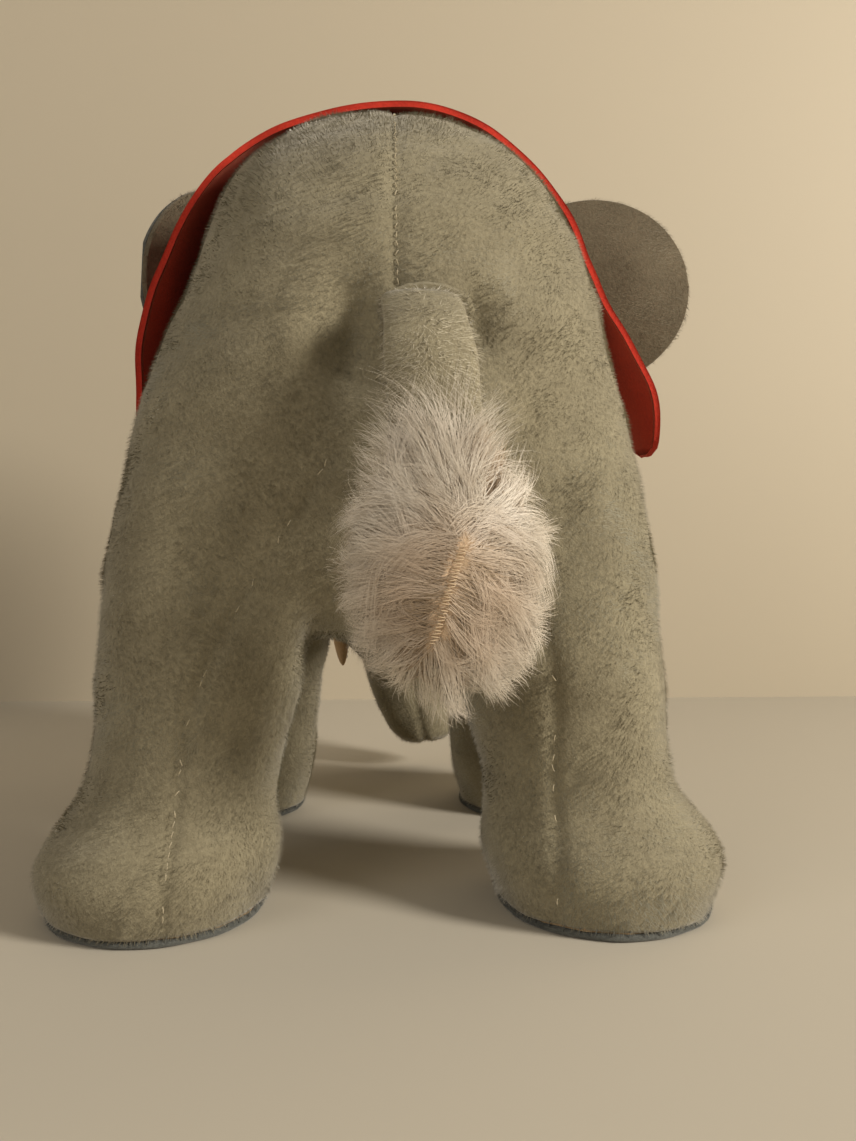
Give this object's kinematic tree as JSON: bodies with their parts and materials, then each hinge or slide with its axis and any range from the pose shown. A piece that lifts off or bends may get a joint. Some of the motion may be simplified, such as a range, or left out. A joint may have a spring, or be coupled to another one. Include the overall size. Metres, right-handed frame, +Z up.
{
  "type": "stuffed elephant",
  "caption": "Standing stuffed elephant in grey mohair with felt foot pads, red felt saddle blanket, tufted tail, ears, trunk and a turning head.",
  "frame": {"origin": "middle of the whole box, on the surface the feet stand on", "axes": "+Z up, +Y the way the elephant faces, +X its right side"},
  "size_m": [0.2126, 0.2668, 0.2353],
  "materials": {
    "card_brown": "matte",
    "felt_red": "matte felt",
    "felt_rose": "matte felt",
    "felt_slate": "matte felt",
    "felt_tan": "matte felt",
    "fibreboard": "matte",
    "glass_black": "polished",
    "mohair_grey": "short mohair pile",
    "pile_pale": "long silky pile",
    "steel": "plain",
    "wood_wool": "pressed loose filling"
  },
  "bodies": {
    "torso": {"belly_gusset": "mohair_grey", "body_neck_disc": "fibreboard", "body_neck_washer": "steel", "body_panel_left": "mohair_grey", "body_panel_right": "mohair_grey", "body_stuffing": "wood_wool", "foot_pad_front_left": "felt_slate", "foot_pad_front_right": "felt_slate", "foot_pad_rear_left": "felt_slate", "foot_pad_rear_right": "felt_slate", "saddle_blanket": "felt_red", "sole_card_front_left": "card_brown", "sole_card_front_right": "card_brown", "sole_card_rear_left": "card_brown", "sole_card_rear_right": "card_brown"},
    "ear_left": {"ear_left_lining": "felt_slate", "ear_left_outer": "mohair_grey"},
    "ear_right": {"ear_right_lining": "felt_slate", "ear_right_outer": "mohair_grey"},
    "head": {"eye_left": "glass_black", "eye_right": "glass_black", "head_gusset": "mohair_grey", "head_neck_disc": "fibreboard", "head_neck_washer": "steel", "head_panel_left": "mohair_grey", "head_panel_right": "mohair_grey", "head_stuffing": "wood_wool", "lower_jaw": "mohair_grey", "mouth_lining": "felt_rose", "neck_pin": "steel", "tusk_left": "felt_tan", "tusk_right": "felt_tan"},
    "tail_root": {"tail_root_patch": "mohair_grey"},
    "tail": {"tail_stuffing": "wood_wool", "tail_tube": "mohair_grey", "tail_tuft": "pile_pale"}
  },
  "joints": [
    {"name": "head_turn", "type": "hinge", "parent": "torso", "child": "head", "pos_m": [-0.01179, 0.04615, 0.166], "axis": [0, 0.9063, 0.4226], "range_deg": [-15, 15]},
    {"name": "right_ear_flap", "type": "hinge", "parent": "head", "child": "ear_right", "pos_m": [0.03586, 0.05644, 0.18855], "axis": [0.1688, -0.0023, -0.9857], "range_deg": [-10, 45]},
    {"name": "left_ear_flap", "type": "hinge", "parent": "head", "child": "ear_left", "pos_m": [-0.06045, 0.05786, 0.1855], "axis": [0.1061, -0.0018, 0.9944], "range_deg": [-60, 0]},
    {"name": "tail_swing", "type": "hinge", "parent": "torso", "child": "tail_root", "pos_m": [-0.00079, -0.10755, 0.15731], "axis": [0, -1, 0], "range_deg": [-35, 35]},
    {"name": "tail_lift", "type": "hinge", "parent": "tail_root", "child": "tail", "pos_m": [-0.00079, -0.10755, 0.15731], "axis": [-1, 0, 0], "range_deg": [0, 95]}
  ]
}
